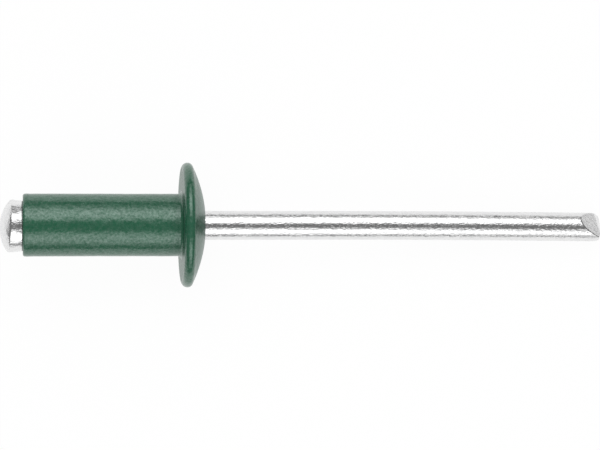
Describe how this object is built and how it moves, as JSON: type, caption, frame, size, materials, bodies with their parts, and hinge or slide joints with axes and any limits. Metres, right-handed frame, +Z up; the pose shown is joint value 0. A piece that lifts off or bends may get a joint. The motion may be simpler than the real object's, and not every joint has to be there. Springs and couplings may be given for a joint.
{
  "type": "blind rivet",
  "caption": "Open-end blind rivet with a domed flange: a green lacquered shank on a bright steel mandrel that ends in a chisel tip, not yet set.",
  "frame": {"origin": "on the surface that the rivet lies on, in the middle of its outline from above", "axes": "+X runs along the rivet, from the mandrel's head to its chisel tip, and the axis slopes down by 6.7 degrees towards the tip. +Z is up, away from the surface"},
  "size_m": [0.0388, 0.008, 0.008],
  "materials": {
    "green_lacquer": "gloss",
    "plated_steel": "polished"
  },
  "bodies": {
    "root": {"rivet_body": "green_lacquer", "mandrel": "plated_steel"}
  },
  "joints": []
}
